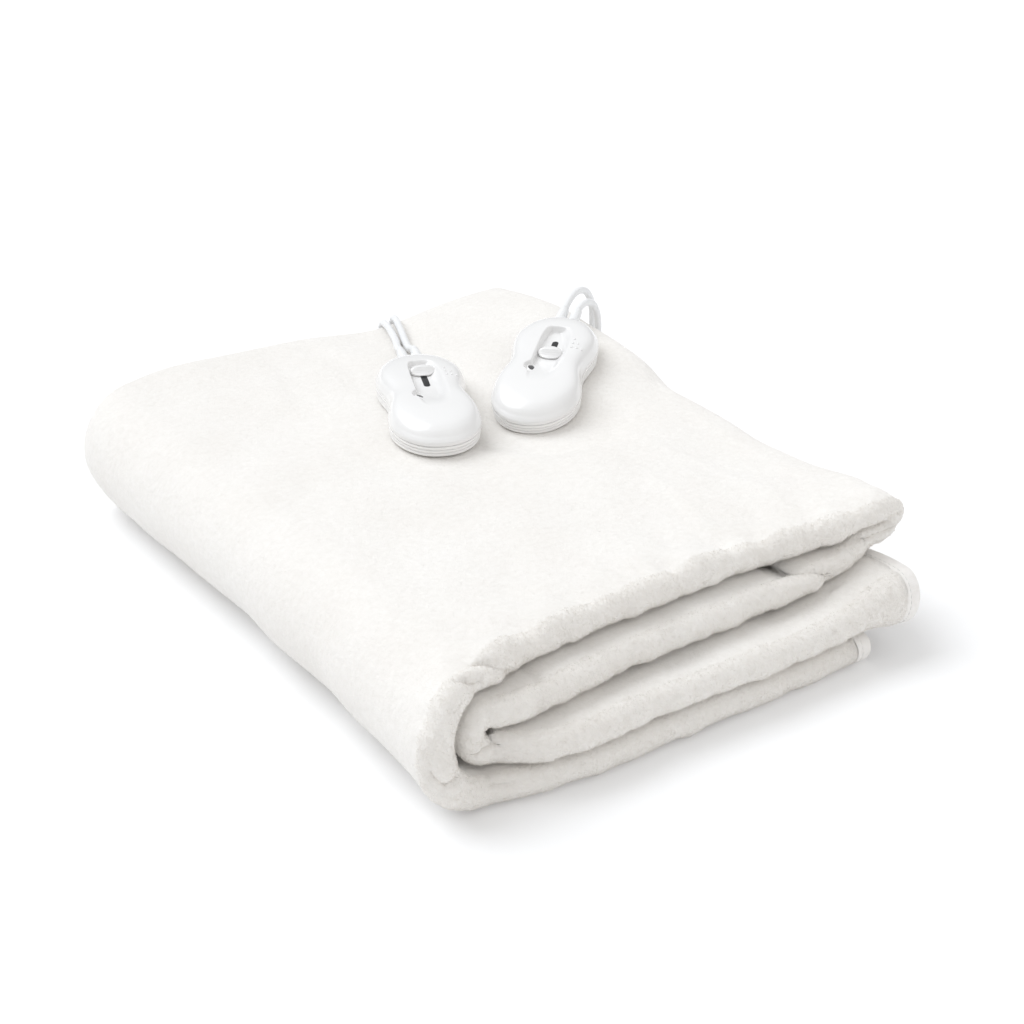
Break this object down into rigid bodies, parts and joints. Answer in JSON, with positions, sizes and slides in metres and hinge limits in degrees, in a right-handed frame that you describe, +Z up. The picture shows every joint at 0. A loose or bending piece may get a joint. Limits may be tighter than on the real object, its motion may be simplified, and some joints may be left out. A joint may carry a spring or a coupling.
{
  "type": "electric underblanket, folded, with controllers",
  "caption": "Fleece electric underblanket folded into a soft layered bundle, slide controllers resting on top, their cords running over the far edges to coiled mains leads.",
  "frame": {"origin": "on the floor, under the middle of the folded bundle's box", "axes": "+Z up; +X away from the big outer fold, towards the bound ends; +Y towards the far side, where the cords go over the edge; the picture looks along +X +Y from -X -Y"},
  "size_m": [0.4217, 0.6116, 0.1205],
  "materials": {
    "fleece": "brushed fleece",
    "binding_tape": "woven tape",
    "controller_shell": "gloss",
    "controller_base": "satin",
    "lamp": "clear",
    "cord": "smooth",
    "sleeve": "satin",
    "pin": "nickel plated"
  },
  "bodies": {
    "underblanket": {"blanket": "fleece", "tape_floor_end": "binding_tape", "tape_third_end": "binding_tape", "left_base": "controller_base", "left_shell": "controller_shell", "left_lamp": "lamp", "left_relief_mains": "sleeve", "left_relief_blanket": "sleeve", "left_mains_cord": "cord", "left_blanket_cord": "cord", "left_coil": "cord", "left_coil_tie": "sleeve", "left_tail_cord": "cord", "left_plug": "cord", "left_plug_pin_1": "pin", "left_plug_pin_2": "pin", "left_gland": "sleeve", "right_base": "controller_base", "right_shell": "controller_shell", "right_lamp": "lamp", "right_relief_mains": "sleeve", "right_relief_blanket": "sleeve", "right_mains_cord": "cord", "right_blanket_cord": "cord", "right_coil": "cord", "right_coil_tie": "sleeve", "right_tail_cord": "cord", "right_plug": "cord", "right_plug_pin_1": "pin", "right_plug_pin_2": "pin", "right_gland": "sleeve"},
    "left_slider": {"left_knob": "controller_shell"},
    "right_slider": {"right_knob": "controller_shell"}
  },
  "joints": [
    {"name": "left_slide", "type": "slide", "parent": "underblanket", "child": "left_slider", "axis": [-0.3583, -0.9335, -0.014], "range_m": [0, 0.018]},
    {"name": "right_slide", "type": "slide", "parent": "underblanket", "child": "right_slider", "axis": [-0.7058, -0.6936, -0.1444], "range_m": [-0.018, 0]}
  ]
}
